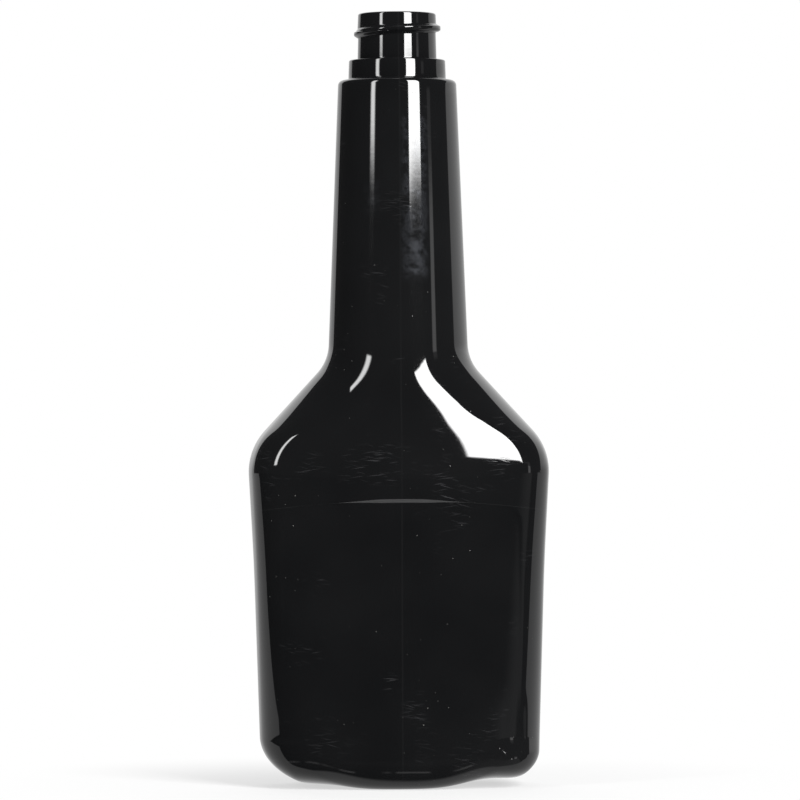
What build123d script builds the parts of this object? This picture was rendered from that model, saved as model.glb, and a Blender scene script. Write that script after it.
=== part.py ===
from build123d import *
import os
from math import atan2, cos, hypot, radians, sin, sqrt, tan

# A cone top bottle: one blown shell with an oval body, steep sloping shoulders, a long tapering
# cone and a screw neck, open at the mouth. Millimetres. +Z is up, +X is across the width, and
# the broad front faces -Y. The origin is in the middle of the base, on the surface it stands on.

# Overall sizes
total_height = 212.0
wall = 1.0

# Body, seen from the front and from the side
base_width = 76.9
base_depth = 44.2
waist_height = 62.0
waist_width = 79.8
waist_depth = 45.4
shoulder_height = 92.4
shoulder_width = 83.15
shoulder_depth = 47.6
waist_radius = 700.0
shoulder_radius = 16.9
shoulder_side_radius = 90.0

# The plan of the body: bowed faces and sides, and rounded corners between them.
# The angles say how far a face or a side turns away from its middle before the corner starts.
face_turn = 19.5
side_turn = 8.0
standing_corner = 9.0
lower_corner = 16.0
upper_corner = 10.5

# Cone
cone_base_height = 116.7
cone_base_diameter = 38.5
cone_top_diameter = 32.4
cone_base_radius = 13.2
cone_side_radius = 130.0
cone_top_radius = 2.7
plan_corner_radius = 60.0

# Collar and screw neck
collar_height = 5.5
collar_diameter = 26.8
collar_draft = 2.0
collar_wall = 1.6
collar_foot_radius = 0.6
collar_edge_radius = 0.4
neck_height = 12.8
neck_diameter = 21.5
bore_diameter = 17.5
neck_foot_radius = 0.3
rim_radius = 0.5
cavity_radius = 1.2

# Thread: one turn of a right-hand screw, whose middle is at the front
thread_diameter = 23.8
thread_pitch = 3.175
thread_depth_below_rim = 4.75
thread_base_width = 2.6
thread_crest_width = 1.1
thread_turns = 1.0
thread_fade_turns = 0.12
thread_root = 0.6
thread_crest_bulge = 0.25
thread_steps = 28

# Rounding of the base: how far it reaches in and up. The right side came out fuller than the left.
left_round_reach = 20.0
left_round_height = 14.0
right_round_reach = 17.0
right_round_height = 10.0
front_round_reach = 6.0
front_round_height = 7.0

# Label panels, front and back
panel_width = 65.0
panel_bottom = 6.8
panel_top = 78.6
panel_top_rise = 1.9
panel_corner = 5.0
panel_sink = 0.35

# Underside
push_up_width = 26.0
push_up_depth = 19.0
push_up_height = 1.4
push_up_slope = 2.5
pinch_width = 1.0
pinch_height = 0.6
pinch_length = 12.0

# The dent in the front edge of the base, right of the middle. It fades towards the back.
dent_place = 24.6
dent_radius = 15.2
dent_height = 3.8
dent_slope = 8.0

# Left of the middle the front edge is drawn up, by a slope to the left that fades to the back
drawn_up_start = -8.0
drawn_up_slope = 6.5
drawn_up_fade = 8.0

# How closely the plans of the body follow each other, and how much of the cone they take in
section_step = 3.0
base_section_turn = 10
lofted_share_of_cone = 0.12

# A rounding takes at most this share of the straight run on each side of it
longest_rounding = 0.48

# Heights that follow from the sizes above
collar_top = total_height - neck_height
cone_top_height = collar_top - collar_height
loft_top = cone_base_height + lofted_share_of_cone * (cone_top_height - cone_base_height)
cone_slope = (cone_base_diameter - cone_top_diameter) / 2 / (cone_top_height - cone_base_height)


def cone_radius(height):
    """The cone's outer radius at a height."""
    return cone_base_diameter / 2 - cone_slope * (height - cone_base_height)


def rounded_corner(before, corner, after, radius):
    """Where the rounding of an outline's corner starts and ends, its centre, radius and side."""
    run_in = hypot(corner[0] - before[0], corner[1] - before[1])
    run_out = hypot(after[0] - corner[0], after[1] - corner[1])
    way_in = ((corner[0] - before[0]) / run_in, (corner[1] - before[1]) / run_in)
    way_out = ((after[0] - corner[0]) / run_out, (after[1] - corner[1]) / run_out)
    turn = atan2(
        way_in[0] * way_out[1] - way_in[1] * way_out[0],
        way_in[0] * way_out[0] + way_in[1] * way_out[1],
    )
    side = 1 if turn > 0 else -1
    if turn == 0:
        return corner[:2], corner[:2], corner[:2], 0, side
    reach = min(radius * tan(abs(turn) / 2), longest_rounding * run_in, longest_rounding * run_out)
    true_radius = reach / tan(abs(turn) / 2)
    start = (corner[0] - reach * way_in[0], corner[1] - reach * way_in[1])
    end = (corner[0] + reach * way_out[0], corner[1] + reach * way_out[1])
    centre = (start[0] - side * true_radius * way_in[1], start[1] + side * true_radius * way_in[0])
    return start, end, centre, true_radius, side


def outline_at(height, corners):
    """How far an outline stands out at a height: straight runs, joined by arcs at its corners."""
    for index in range(1, len(corners) - 1):
        before, corner, after = corners[index - 1], corners[index], corners[index + 1]
        start, end, centre, radius, side = rounded_corner(before, corner, after, corner[2])
        if start[1] <= height <= end[1]:
            return centre[0] + side * sqrt(radius**2 - (height - centre[1]) ** 2)
    for below, above in zip(corners, corners[1:]):
        if height <= above[1]:
            break
    share = (height - below[1]) / (above[1] - below[1])
    return below[0] + share * (above[0] - below[0])


# Each corner is (distance from the axis, height, radius of its rounding)
front_outline = [
    (base_width / 2, left_round_height, 0),
    (waist_width / 2, waist_height, waist_radius),
    (shoulder_width / 2, shoulder_height, shoulder_radius),
    (cone_base_diameter / 2, cone_base_height, cone_base_radius),
    (cone_radius(loft_top), loft_top, 0),
]
side_outline = [
    (base_depth / 2, front_round_height, 0),
    (waist_depth / 2, waist_height, waist_radius),
    (shoulder_depth / 2, shoulder_height, shoulder_side_radius),
    (cone_base_diameter / 2, cone_base_height, cone_side_radius),
    (cone_radius(loft_top), loft_top, 0),
]
corner_outline = [
    (lower_corner, left_round_height, 0),
    (upper_corner, shoulder_height, plan_corner_radius),
    (cone_base_diameter / 2, cone_base_height, plan_corner_radius),
    (cone_radius(loft_top), loft_top, 0),
]


def reach_at(height, corners, inset, round_reach, round_height):
    """An outline set in by a wall, with the quarter of an ellipse that rounds it into the base."""
    if height >= round_height:
        return outline_at(height, corners) - inset
    rise = (round_height - height) / (round_height - inset)
    widest = outline_at(round_height, corners)
    return widest - round_reach + (round_reach - inset) * sqrt(max(0, 1 - rise**2))


def section_heights(inset):
    """The heights of the plans: around the rounding of the base, then evenly up to the cone."""
    heights = []
    for angle in range(0, 90, base_section_turn):
        heights.append(left_round_height - (left_round_height - inset) * cos(radians(angle)))
    steps = round((loft_top - left_round_height) / section_step)
    for step in range(steps + 1):
        heights.append(left_round_height + step / steps * (loft_top - left_round_height))
    return heights


def corner_at(height, inset):
    """The radius of the plan's corners at a height."""
    if height < left_round_height:
        share = height / left_round_height
        return standing_corner + share * (lower_corner - standing_corner) - inset
    return outline_at(height, corner_outline) - inset


def plan_at(height, inset, sink):
    """The closed plan at a height: eight arcs that run on into each other."""
    left = reach_at(height, front_outline, inset + sink, left_round_reach, left_round_height)
    right = reach_at(height, front_outline, inset + sink, right_round_reach, right_round_height)
    depth = reach_at(height, side_outline, inset + sink, front_round_reach, front_round_height)
    width = (left + right) / 2
    middle = (right - left) / 2
    face_in, face_back = sin(radians(face_turn)), 1 - cos(radians(face_turn))
    side_in, side_back = sin(radians(side_turn)), 1 - cos(radians(side_turn))
    fullest = (depth * face_in - width * face_back) / (face_in - face_back)
    corner = min(corner_at(height, inset + sink), fullest)
    shared = face_in * side_in - face_back * side_back
    face_extra = ((width - corner) * side_in - (depth - corner) * side_back) / shared
    side_extra = ((depth - corner) * face_in - (width - corner) * face_back) / shared
    face_radius = corner + face_extra
    side_radius = corner + side_extra
    across = face_extra * face_in
    along = side_extra * side_in
    corner_turn = 90 - face_turn - side_turn
    arcs = [
        CenterArc((middle, face_radius - depth), face_radius, 270 - face_turn, 2 * face_turn),
        CenterArc((middle + across, -along), corner, 270 + face_turn, corner_turn),
        CenterArc((middle + width - side_radius, 0), side_radius, -side_turn, 2 * side_turn),
        CenterArc((middle + across, along), corner, side_turn, corner_turn),
        CenterArc((middle, depth - face_radius), face_radius, 90 - face_turn, 2 * face_turn),
        CenterArc((middle - across, along), corner, 90 + face_turn, corner_turn),
        CenterArc((middle - width + side_radius, 0), side_radius, 180 - side_turn, 2 * side_turn),
        CenterArc((middle - across, -along), corner, 180 + side_turn, corner_turn),
    ]
    return Plane.XY.offset(height) * Face(Wire(arcs))


def body_form(inset, sink):
    """The body up to the lower cone, smooth, with its wall set in."""
    plans = [plan_at(height, inset, sink) for height in section_heights(inset)]
    with BuildPart() as form:
        loft(plans)
    return form.part


def panel_cut(inset):
    """What is taken off front and back to sink the label panels."""
    half_width = panel_width / 2 + inset
    bottom = panel_bottom - inset
    top = panel_top + inset
    side_top = top - panel_top_rise
    with BuildPart() as cut:
        with BuildSketch(Plane.XZ):
            with BuildLine():
                Polyline(
                    (-half_width, side_top),
                    (-half_width, bottom),
                    (half_width, bottom),
                    (half_width, side_top),
                )
                ThreePointArc((half_width, side_top), (0, top), (-half_width, side_top))
            face = make_face()
            fillet(face.vertices(), radius=panel_corner + inset)
        extrude(amount=shoulder_depth, both=True)
        add(body_form(inset, panel_sink), mode=Mode.SUBTRACT)
    return cut.part


def foot_cut(inset):
    """What the dent and the drawn-up edge take off the base, offset by the wall for the inside."""
    dent_axis = Plane(
        origin=(dent_place, -base_depth / 2, dent_height - dent_radius),
        x_dir=(1, 0, 0),
        z_dir=(0, cos(radians(dent_slope)), -sin(radians(dent_slope))),
    )
    drawn_up = Plane(
        origin=(drawn_up_start, -base_depth / 2, 0),
        x_dir=(1, 0, -tan(radians(drawn_up_slope))),
        z_dir=(tan(radians(drawn_up_slope)), tan(radians(drawn_up_fade)), 1),
    )
    with BuildPart() as cut:
        with BuildSketch(dent_axis):
            Circle(dent_radius + inset)
        extrude(amount=base_depth, both=True)
        with BuildSketch(drawn_up.offset(inset)):
            Rectangle(2 * base_width, 2 * base_depth)
        extrude(amount=-base_depth)
    return cut.part


def blown_body(inset):
    """The body as it came from the mould, on its outside or, set in by the wall, on its inside."""
    form = body_form(inset, 0)
    panels = panel_cut(inset)
    foot = foot_cut(inset)
    half_width = push_up_width / 2 + inset
    half_depth = push_up_depth / 2 + inset
    with BuildPart() as body:
        add(form)
        add(panels, mode=Mode.SUBTRACT)
        with BuildSketch(Plane.XY.offset(inset)):
            Ellipse(half_width, half_depth)
        with BuildSketch(Plane.XY.offset(inset + push_up_height)):
            Ellipse(half_width - push_up_slope, half_depth - push_up_slope)
        loft(ruled=True, mode=Mode.SUBTRACT)
        add(foot, mode=Mode.SUBTRACT)
    return body.part


def thread_section(turn):
    """The thread's section, this many turns from its middle. It sinks into the neck at its ends."""
    ends_in = thread_turns / 2 - abs(turn)
    fullness = min(1, ends_in / thread_fade_turns)
    stands_out = thread_diameter / 2 - neck_diameter / 2
    crest = neck_diameter / 2 + stands_out * fullness - thread_root / 2 * (1 - fullness)
    root = neck_diameter / 2 - thread_root
    around = radians(270 + 360 * turn)
    outward = (cos(around), sin(around), 0)
    height = total_height - thread_depth_below_rim + thread_pitch * turn
    section_plane = Plane(origin=(0, 0, height), x_dir=outward, z_dir=(sin(around), -cos(around), 0))
    with BuildSketch(section_plane) as section:
        with BuildLine():
            Polyline(
                (crest - thread_crest_bulge, -thread_crest_width / 2),
                (root, -thread_base_width / 2),
                (root, thread_base_width / 2),
                (crest - thread_crest_bulge, thread_crest_width / 2),
            )
            ThreePointArc(
                (crest - thread_crest_bulge, thread_crest_width / 2),
                (crest, 0),
                (crest - thread_crest_bulge, -thread_crest_width / 2),
            )
        make_face()
    return section.sketch


outside = blown_body(0)
inside = blown_body(wall)

thread_sections = []
for step in range(thread_steps + 1):
    thread_sections.append(thread_section(thread_turns * (step / thread_steps - 0.5)))
with BuildPart() as thread:
    loft(thread_sections)

foot_radius = collar_diameter / 2
head_radius = foot_radius - collar_height * tan(radians(collar_draft))
cavity_top = cone_top_height - wall
with BuildPart() as bottle:
    add(outside)
    # The upper cone, the collar and the neck are round, and turned from one profile
    with BuildSketch(Plane.XZ):
        with BuildLine():
            profile = FilletPolyline(
                (cone_radius(loft_top), loft_top),
                (cone_top_diameter / 2, cone_top_height),
                (foot_radius, cone_top_height),
                (head_radius, collar_top),
                (neck_diameter / 2, collar_top),
                (neck_diameter / 2, total_height),
                (0, total_height),
                radius=[
                    cone_top_radius,
                    collar_foot_radius,
                    collar_edge_radius,
                    neck_foot_radius,
                    rim_radius,
                ],
            )
            Line(profile @ 1, (0, loft_top))
            Line((0, loft_top), profile @ 0)
        make_face()
    revolve(axis=Axis.Z)
    add(thread)
    # The pinch-off scar runs from front to back under the base
    with Locations((0, 0, push_up_height - pinch_height)):
        Box(
            pinch_width,
            pinch_length,
            pinch_height + wall / 2,
            align=(Align.CENTER, Align.CENTER, Align.MIN),
        )
    add(inside, mode=Mode.SUBTRACT)
    with BuildSketch(Plane.XZ):
        with BuildLine():
            cavity = FilletPolyline(
                (cone_radius(loft_top) - wall, loft_top),
                (cone_top_diameter / 2 - wall, cavity_top),
                (foot_radius - collar_wall, cavity_top),
                (head_radius - collar_wall, collar_top - collar_wall),
                (bore_diameter / 2, collar_top - collar_wall),
                (bore_diameter / 2, total_height),
                radius=[cavity_radius] * 4,
            )
            Polyline(cavity @ 1, (0, total_height), (0, loft_top), cavity @ 0)
        make_face()
    revolve(axis=Axis.Z, mode=Mode.SUBTRACT)

bottle.part.label = "bottle"
os.makedirs("parts", exist_ok=True)
export_step(bottle.part, "parts/bottle.step")
print("solids", len(bottle.part.solids()), "volume", round(bottle.part.volume), "valid", bottle.part.is_valid)
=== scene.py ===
# %% [markdown]
# # A black cone top bottle
# The real bottle is one blown shell. A hot tube of plastic hangs between two halves of a mould,
# the mould shuts on it and air presses it against the cool walls. So the bottle has an even, thin
# wall, a body with an oval plan, shoulders that run into a long round cone, and a screw neck.
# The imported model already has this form, and this script gives it a finer skin and its finish.

# %% Load the frame
import math

import bpy
import numpy as np
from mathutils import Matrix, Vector


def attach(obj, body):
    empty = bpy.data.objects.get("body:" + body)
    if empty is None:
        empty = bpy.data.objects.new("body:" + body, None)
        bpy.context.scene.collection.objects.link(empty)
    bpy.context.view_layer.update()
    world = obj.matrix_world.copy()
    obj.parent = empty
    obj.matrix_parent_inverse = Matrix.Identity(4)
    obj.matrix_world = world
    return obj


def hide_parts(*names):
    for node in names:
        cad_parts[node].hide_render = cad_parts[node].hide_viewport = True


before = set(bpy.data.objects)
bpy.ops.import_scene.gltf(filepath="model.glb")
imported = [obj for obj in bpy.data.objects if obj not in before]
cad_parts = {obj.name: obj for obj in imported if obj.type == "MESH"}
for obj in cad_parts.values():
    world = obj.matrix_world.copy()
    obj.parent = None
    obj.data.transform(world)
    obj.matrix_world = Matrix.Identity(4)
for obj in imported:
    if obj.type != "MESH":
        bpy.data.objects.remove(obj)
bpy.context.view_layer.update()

# %% [markdown]
# ## The bottle's sizes
# These are the sizes of the solid, in millimetres, with +Z up and the broad front facing -Y. A few
# of them, such as the turn of the faces, are closer to the real bottle here than in the solid. The
# sizes that only this script uses, such as those of the dents, come in the cells that use them.

# %% Sizes of the solid
MM = 0.001
total_height = 212.0
wall = 1.0

base_width, base_depth = 76.9, 44.2
waist_height, waist_width, waist_depth = 62.0, 79.8, 45.4
shoulder_height, shoulder_width, shoulder_depth = 92.4, 83.1, 47.6
waist_radius, shoulder_radius, shoulder_side_radius = 700.0, 16.9, 90.0

face_turn, side_turn = 14.5, 8.0
standing_corner, lower_corner, upper_corner = 9.0, 16.0, 10.5

cone_base_height, cone_base_diameter, cone_top_diameter = 116.7, 38.5, 32.4
cone_base_radius, cone_top_radius, loft_share = 13.2, 2.7, 0.12
side_corner_height, side_corner_radius, plan_corner_radius = 113.0, 50.0, 60.0
ridge_corner, ridge_height, ridge_radius = 18.0, 104.0, 40.0

collar_height, collar_diameter, collar_draft, collar_wall = 5.5, 26.8, 2.0, 1.6
collar_foot_radius, collar_edge_radius = 0.6, 0.4
neck_height, neck_diameter, bore_diameter = 12.8, 21.5, 17.5
neck_foot_radius, rim_radius, bore_edge_radius, cavity_radius = 0.3, 0.5, 0.2, 1.2
neck_draft, neck_waist_half, thread_depth_below_rim = 0.1, 0.3, 4.75

left_round_reach, left_round_height = 20.0, 14.0
right_round_reach, right_round_height = 17.0, 10.0
front_round_reach, front_round_height = 6.0, 7.0

collar_top = total_height - neck_height
cone_top_height = collar_top - collar_height
loft_top = cone_base_height + loft_share * (cone_top_height - cone_base_height)
cone_slope = (cone_base_diameter - cone_top_diameter) / 2 / (cone_top_height - cone_base_height)
print("collar", round(cone_top_height, 1), "to", round(collar_top, 1),
      "cone slope", round(cone_slope, 4))

# %% [markdown]
# ## Outlines with rounded corners
# Every outline of the bottle is a few straight runs with rounded corners. A corner is a distance
# from the axis, a height and a radius. The same small function finds where each rounding starts
# and ends, whether the outline is asked for a width at a height or walked from end to end.

# %% Rounded outlines
longest_rounding = 0.48  # of the shorter run beside it


def rounded_corner(before, corner, after):
    """Start, end, centre, radius, side and turn of a corner (distance, height, radius)."""
    run_in = math.hypot(corner[0] - before[0], corner[1] - before[1])
    run_out = math.hypot(after[0] - corner[0], after[1] - corner[1])
    way_in = ((corner[0] - before[0]) / run_in, (corner[1] - before[1]) / run_in)
    way_out = ((after[0] - corner[0]) / run_out, (after[1] - corner[1]) / run_out)
    turn = math.atan2(way_in[0] * way_out[1] - way_in[1] * way_out[0],
                      way_in[0] * way_out[0] + way_in[1] * way_out[1])
    side = 1 if turn > 0 else -1
    reach = min(corner[2] * math.tan(abs(turn) / 2), longest_rounding * min(run_in, run_out))
    radius = reach / max(math.tan(abs(turn) / 2), 1e-9)
    start = (corner[0] - reach * way_in[0], corner[1] - reach * way_in[1])
    end = (corner[0] + reach * way_out[0], corner[1] + reach * way_out[1])
    centre = (start[0] - side * radius * way_in[1], start[1] + side * radius * way_in[0])
    return start, end, centre, radius, side, turn


def outline_at(height, corners):
    """How far an outline that rises all the way stands out at a height."""
    for before, corner, after in zip(corners, corners[1:], corners[2:]):
        start, end, centre, radius, side, turn = rounded_corner(before, corner, after)
        if start[1] <= height <= end[1]:
            return centre[0] + side * math.sqrt(radius**2 - (height - centre[1]) ** 2)
    for below, above in zip(corners, corners[1:]):
        if height <= above[1]:
            break
    share = (height - below[1]) / (above[1] - below[1])
    return below[0] + share * (above[0] - below[0])


def walk(corners, steps, arc_steps=6):
    """The points (distance, height) along an outline. steps gives the pieces of each straight run."""
    points = [corners[0][:2]]
    for index in range(1, len(corners)):
        last = index == len(corners) - 1
        if last:
            start = corners[index][:2]
        else:
            start, end, centre, radius, side, turn = rounded_corner(*corners[index - 1:index + 2])
        here = points[-1]
        for step in range(1, steps[index - 1] + 1):
            share = step / steps[index - 1]
            points.append((here[0] + share * (start[0] - here[0]),
                           here[1] + share * (start[1] - here[1])))
        if last or corners[index][2] == 0:
            continue
        first = math.atan2(start[1] - centre[1], start[0] - centre[0])
        for step in range(1, arc_steps + 1):
            angle = first + turn * step / arc_steps
            points.append((centre[0] + radius * math.cos(angle),
                           centre[1] + radius * math.sin(angle)))
    return points


def cone_radius(height):
    """The cone's outer radius at a height."""
    return cone_base_diameter / 2 - cone_slope * (height - cone_base_height)


cone_end = (cone_base_diameter / 2, cone_base_height)
cone_run = (cone_radius(loft_top), loft_top, 0)
front_outline = [(base_width / 2, left_round_height, 0), (waist_width / 2, waist_height, waist_radius),
                 (shoulder_width / 2, shoulder_height, shoulder_radius),
                 (*cone_end, cone_base_radius), cone_run]
side_outline = [(base_depth / 2, front_round_height, 0), (waist_depth / 2, waist_height, waist_radius),
                (shoulder_depth / 2, shoulder_height, shoulder_side_radius),
                (cone_radius(side_corner_height), side_corner_height, side_corner_radius), cone_run]
corner_outline = [(lower_corner, left_round_height, 0),
                  (upper_corner, shoulder_height, plan_corner_radius),
                  (ridge_corner, ridge_height, ridge_radius),
                  (*cone_end, plan_corner_radius), cone_run]
print("half width at the shoulder", round(outline_at(shoulder_height, front_outline), 2), "mm")

# %% [markdown]
# ## The plan of the body
# Seen from above, each height of the body is eight arcs that run on into each other: two bowed
# faces, two bowed sides and four corners. All eight arcs turn the same way, so a point of the
# plan is named by the direction that it faces. On the cone and the neck the same arcs share one
# centre and make a circle, and so one set of directions serves the bottle from foot to rim.

# %% Directions around the bottle
face_pieces, corner_pieces, side_pieces = 44, 32, 20
corner_turn = 90 - face_turn - side_turn
directions, kinds = [], []
start = 270 - face_turn
face_arc, corner_arc = (face_pieces, 2 * face_turn), (corner_pieces, corner_turn)
side_arc = (side_pieces, 2 * side_turn)
for kind, (pieces, turn) in [("front", face_arc), ("front right", corner_arc),
                             ("right", side_arc), ("back right", corner_arc),
                             ("back", face_arc), ("back left", corner_arc),
                             ("left", side_arc), ("front left", corner_arc)]:
    for piece in range(pieces):
        directions.append(math.radians(start + turn * piece / pieces))
        kinds.append(kind)
    start += turn
directions, kinds = np.array(directions), np.array(kinds)
around = len(directions)
print("points around each ring", around)


# %% The plan at a height
def plan_points(left, right, depth, corner):
    """The ring of points of a plan that reaches left, right and depth, with that corner radius."""
    width, middle = (left + right) / 2, (right - left) / 2
    face_angle, side_angle = math.radians(face_turn), math.radians(side_turn)
    face_in, face_back = math.sin(face_angle), 1 - math.cos(face_angle)
    side_in, side_back = math.sin(side_angle), 1 - math.cos(side_angle)
    corner = min(corner, (depth * face_in - width * face_back) / (face_in - face_back))
    shared = face_in * side_in - face_back * side_back
    face_extra = ((width - corner) * side_in - (depth - corner) * side_back) / shared
    side_extra = ((depth - corner) * face_in - (width - corner) * face_back) / shared
    at_right, at_left, at_back, at_front = (np.char.find(kinds, word) >= 0
                                            for word in ("right", "left", "back", "front"))
    to_right = np.where(at_right, 1, np.where(at_left, -1, 0))
    to_back = np.where(at_back, 1, np.where(at_front, -1, 0))
    is_corner = (to_right != 0) & (to_back != 0)
    centre_x = np.where(is_corner, to_right * face_extra * face_in,
                        to_right * (width - corner - side_extra)) + middle
    centre_y = np.where(is_corner, to_back * side_extra * side_in,
                        to_back * (depth - corner - face_extra))
    radius = np.where(is_corner, corner, corner + np.where(to_back != 0, face_extra, side_extra))
    return centre_x + radius * np.cos(directions), centre_y + radius * np.sin(directions)


def reach_at(height, corners, inset, round_reach, round_height):
    """An outline set in by the wall, with the quarter of an ellipse that rounds it into the base."""
    if height >= round_height:
        return outline_at(height, corners) - inset
    rise = (round_height - height) / (round_height - inset)
    widest = outline_at(round_height, corners)
    return widest - round_reach + (round_reach - inset) * math.sqrt(max(0, 1 - rise**2))


def body_reaches(height, inset):
    """Left, right, depth and corner radius of the body's plan at a height, set in by the wall."""
    left = reach_at(height, front_outline, inset, left_round_reach, left_round_height)
    right = reach_at(height, front_outline, inset, right_round_reach, right_round_height)
    depth = reach_at(height, side_outline, inset, front_round_reach, front_round_height)
    if height < left_round_height:
        corner = standing_corner + height / left_round_height * (lower_corner - standing_corner)
    else:
        corner = outline_at(height, corner_outline)
    return left, right, depth, corner - inset


x_ring, y_ring = plan_points(*body_reaches(waist_height, 0))
print("plan at the waist", round(np.ptp(x_ring), 2), "x", round(np.ptp(y_ring), 2), "mm")

# %% [markdown]
# ## The rings of the shell
# The shell is one closed skin: from the middle of the underside, out and up the outside, over the
# rim, down the inside and in to the middle of the floor. Each ring of the skin has a height, its
# reach to the left, the right and the depth, and a corner radius. The rings lie close at the panel's
# top edge and the thread, and far apart on the straight cone, so that the skin is fine where it
# shows and light elsewhere. The neck tapers a little below and above its thread, as a mould's does.

# %% Sizes of the underside
push_up_width, push_up_depth, push_up_height, push_up_slope = 26.0, 19.0, 1.4, 2.5
push_up_corner = 0.8


def floor_rings(level, inset, pieces):
    """Rings of a floor, from its middle to its standing edge, with the push-up in its middle.

    push_up_corner is the corner radius of the push-up's plan, as a share of its half depth."""
    half_width, half_depth = push_up_width / 2 + inset, push_up_depth / 2 + inset
    edge = body_reaches(level, inset)
    inner = (half_width - push_up_slope, half_width - push_up_slope, half_depth - push_up_slope)
    outer = (half_width, half_width, half_depth)
    rings = [(level + push_up_height, 0, 0, 0, 0)]
    for step in range(1, pieces + 1):
        share = step / pieces
        rings.append((level + push_up_height, *[share * reach for reach in inner],
                      share * push_up_corner * inner[2]))
    for step in range(1, pieces + 1):
        share = step / pieces
        eased = share * share * (3 - 2 * share)
        reaches = [a + share * (b - a) for a, b in zip(inner, outer)]
        rings.append((level + push_up_height * (1 - eased), *reaches, push_up_corner * reaches[2]))
    outer_corner = push_up_corner * outer[2]
    for step in range(1, pieces):
        share = step / pieces
        reaches = [a + share * (b - a) for a, b in zip(outer, edge)]
        rings.append((level, *reaches, outer_corner + share * (edge[3] - outer_corner)))
    return rings


# %% Heights of the body's rings
outside_apart = [(74, 1.5), (80.5, 0.25), (loft_top, 0.85)]
inside_apart = [(74, 6), (loft_top, 3)]


def body_heights(inset, rounding_pieces, close_steps):
    """Heights of the body's rings. close_steps is a list of (up to this height, this far apart)."""
    heights = []
    for step in range(rounding_pieces):
        lift = 1 - math.cos(math.pi / 2 * step / rounding_pieces)
        heights.append(inset + (left_round_height - inset) * lift)
    here = left_round_height
    for top, apart in close_steps:
        pieces = max(1, round((top - here) / apart))
        heights += [here + (top - here) * step / pieces for step in range(pieces)]
        here = top
    return heights


outside_heights = body_heights(0, 26, outside_apart)
inside_heights = body_heights(wall, 9, inside_apart)
print("heights outside", len(outside_heights), "inside", len(inside_heights))

# %% Rings of the outside, up to the rim
foot_radius = collar_diameter / 2
head_radius = foot_radius - collar_height * math.tan(math.radians(collar_draft))
neck_radius, thread_middle = neck_diameter / 2, total_height - thread_depth_below_rim
rings = floor_rings(0, 0, 6)
rings += [(height, *body_reaches(height, 0)) for height in outside_heights]
outer_turned = [(cone_radius(loft_top), loft_top, 0),
                (cone_top_diameter / 2, cone_top_height, cone_top_radius),
                (foot_radius, cone_top_height, collar_foot_radius),
                (head_radius, collar_top, collar_edge_radius),
                (neck_radius + neck_draft, collar_top, neck_foot_radius),
                (neck_radius - neck_draft, thread_middle - neck_waist_half, 0),
                (neck_radius + neck_draft, thread_middle + neck_waist_half, 0),
                (neck_radius - neck_draft, total_height, rim_radius),
                (bore_diameter / 2, total_height, bore_edge_radius),
                (bore_diameter / 2, collar_top - collar_wall, 0)]
outer_steps = [22, 1, 4, 2, 50, 2, 32, 2, 8]
outer_points = walk(outer_turned, outer_steps, 6)
split = max(i for i, p in enumerate(outer_points) if p[1] >= total_height - rim_radius)
rings += [(height, radius, radius, radius, radius) for radius, height in outer_points[:split + 1]]
print("rings up to the rim", len(rings))

# %% Rings of the inside, down to the floor
cavity_top = cone_top_height - wall
inner_turned = [(bore_diameter / 2, total_height - rim_radius, 0),
                (bore_diameter / 2, collar_top - collar_wall, cavity_radius),
                (head_radius - collar_wall, collar_top - collar_wall, cavity_radius),
                (foot_radius - collar_wall, cavity_top, cavity_radius),
                (cone_top_diameter / 2 - wall, cavity_top, cavity_radius),
                (cone_radius(loft_top) - wall, loft_top, 0)]
inner_steps = [1, 1, 2, 1, 10]
inner_points = walk(inner_turned, inner_steps, 4)
rings += [(height, radius, radius, radius, radius) for radius, height in inner_points[1:]]
rings += [(height, *body_reaches(height, wall)) for height in reversed(inside_heights)]
rings += floor_rings(wall, wall, 3)[::-1]
print("rings", len(rings), "faces about", len(rings) * around)

# %% [markdown]
# ## The skin is spun, then pressed into the mould
# A point is extruded through every ring's height as a profile line, and Spin turns the line into a
# round skin, as on a wheel. That gives clean rows of four-sided faces with closed poles. Then each
# ring is laid on its plan, the way that air presses the tube against the mould's oval wall.

# %% Draw the profile
bpy.ops.object.select_all(action="DESELECT")
bpy.ops.mesh.primitive_plane_add(size=MM, location=(0, 0, rings[0][0] * MM))
shell = bpy.context.object
shell.name = "bottle_shell"
bpy.ops.object.transform_apply(location=True)
bpy.ops.object.mode_set(mode="EDIT")
bpy.ops.mesh.merge(type="CENTER")
for below, above in zip(rings, rings[1:]):
    climb = ((above[2] - below[2]) * MM, 0, (above[0] - below[0]) * MM)
    bpy.ops.mesh.extrude_region_move(TRANSFORM_OT_translate={"value": climb})
bpy.ops.object.mode_set(mode="OBJECT")
ring_number = shell.data.attributes.new("ring_number", "INT", "POINT")
ring_number.data.foreach_set("value", np.arange(len(shell.data.vertices), dtype=np.int32))
print("profile points", len(shell.data.vertices), "rings", len(rings))

# %% Spin it
bpy.ops.object.mode_set(mode="EDIT")
bpy.ops.mesh.select_all(action="SELECT")
bpy.ops.mesh.spin(steps=around, angle=2 * math.pi, center=(0, 0, 0), axis=(0, 0, 1),
                  use_auto_merge=True)
bpy.ops.mesh.select_all(action="SELECT")
bpy.ops.mesh.remove_doubles(threshold=1e-7)
bpy.ops.object.mode_set(mode="OBJECT")
mesh = shell.data
points = np.empty(len(mesh.vertices) * 3)
mesh.vertices.foreach_get("co", points)
points = points.reshape(-1, 3) / MM
number = np.empty(len(points), dtype=np.int32)
mesh.attributes["ring_number"].data.foreach_get("value", number)
angles = np.degrees(np.arctan2(points[:, 1], points[:, 0]))
place = np.rint(angles / 360 * around).astype(int) % around
print("spun", len(points), "points, rings", number.min(), "to", number.max())

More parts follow.
